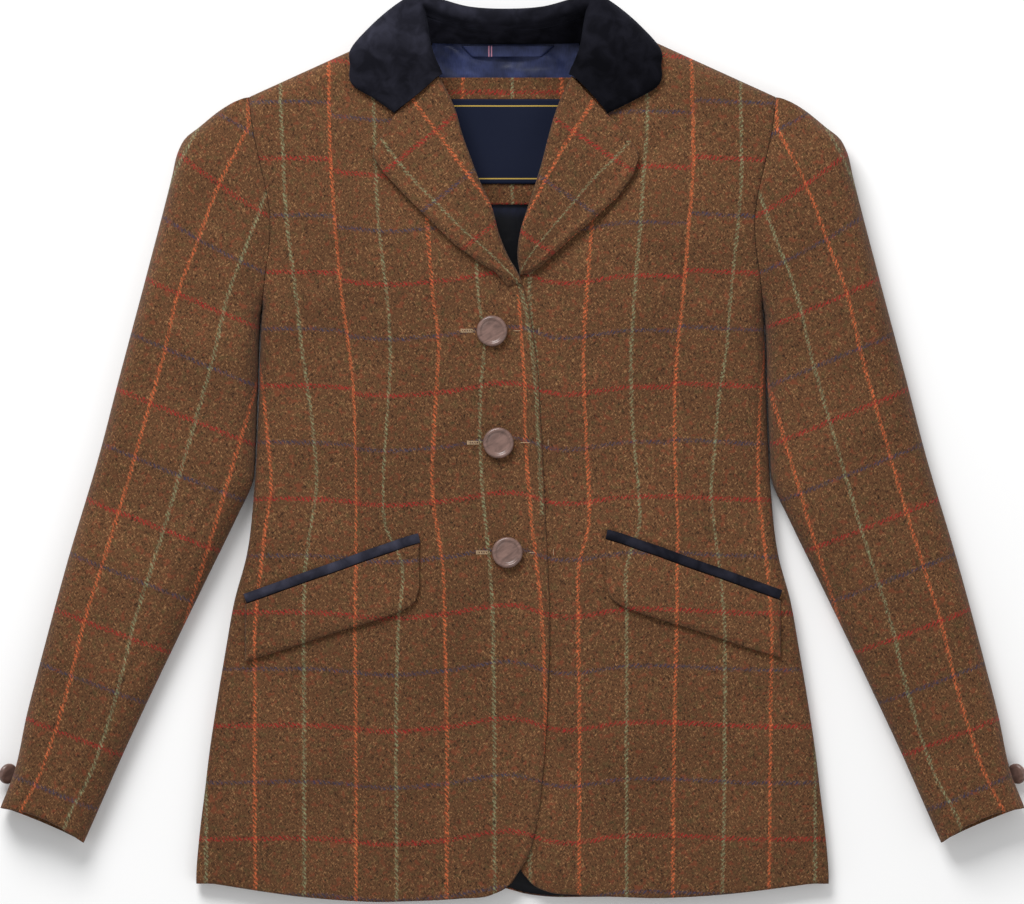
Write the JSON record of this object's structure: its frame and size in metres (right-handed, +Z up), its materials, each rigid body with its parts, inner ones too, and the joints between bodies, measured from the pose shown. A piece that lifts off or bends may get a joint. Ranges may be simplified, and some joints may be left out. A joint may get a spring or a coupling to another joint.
{
  "type": "equestrian show jacket",
  "caption": "Child's fitted riding show jacket in windowpane tweed with a velvet collar, notched lapels and flapped pockets, laid flat on its back.",
  "frame": {"origin": "on the surface the jacket lies on, under the middle of the whole laid jacket", "axes": "+X to the wearer's left, +Y from the hem to the collar, +Z up from the back to the fronts"},
  "size_m": [0.666, 0.5861, 0.0386],
  "materials": {
    "tweed": "matt flecked wool tweed with a windowpane check",
    "velvet": "short-pile velvet with a soft sheen",
    "satin": "satin lining",
    "label": "woven satin with a thin border",
    "horn": "polished horn-effect plastic"
  },
  "bodies": {
    "root": {"back": "tweed", "back_neck_facing": "tweed", "front_right": "tweed", "front_left": "tweed", "lapel_right": "tweed", "lapel_left": "tweed", "pocket_flap_right": "tweed", "pocket_flap_left": "tweed", "top_sleeve_right": "tweed", "top_sleeve_left": "tweed", "under_sleeve_right": "tweed", "under_sleeve_left": "tweed", "collar_fall": "velvet", "collar_stand": "velvet", "pocket_welt_right": "velvet", "pocket_welt_left": "velvet", "lining_back": "satin", "hanger_loop": "satin", "neck_label": "label", "front_button_top": "horn", "front_button_middle": "horn", "front_button_bottom": "horn", "cuff_button_right": "horn", "cuff_button_left": "horn"}
  },
  "joints": []
}
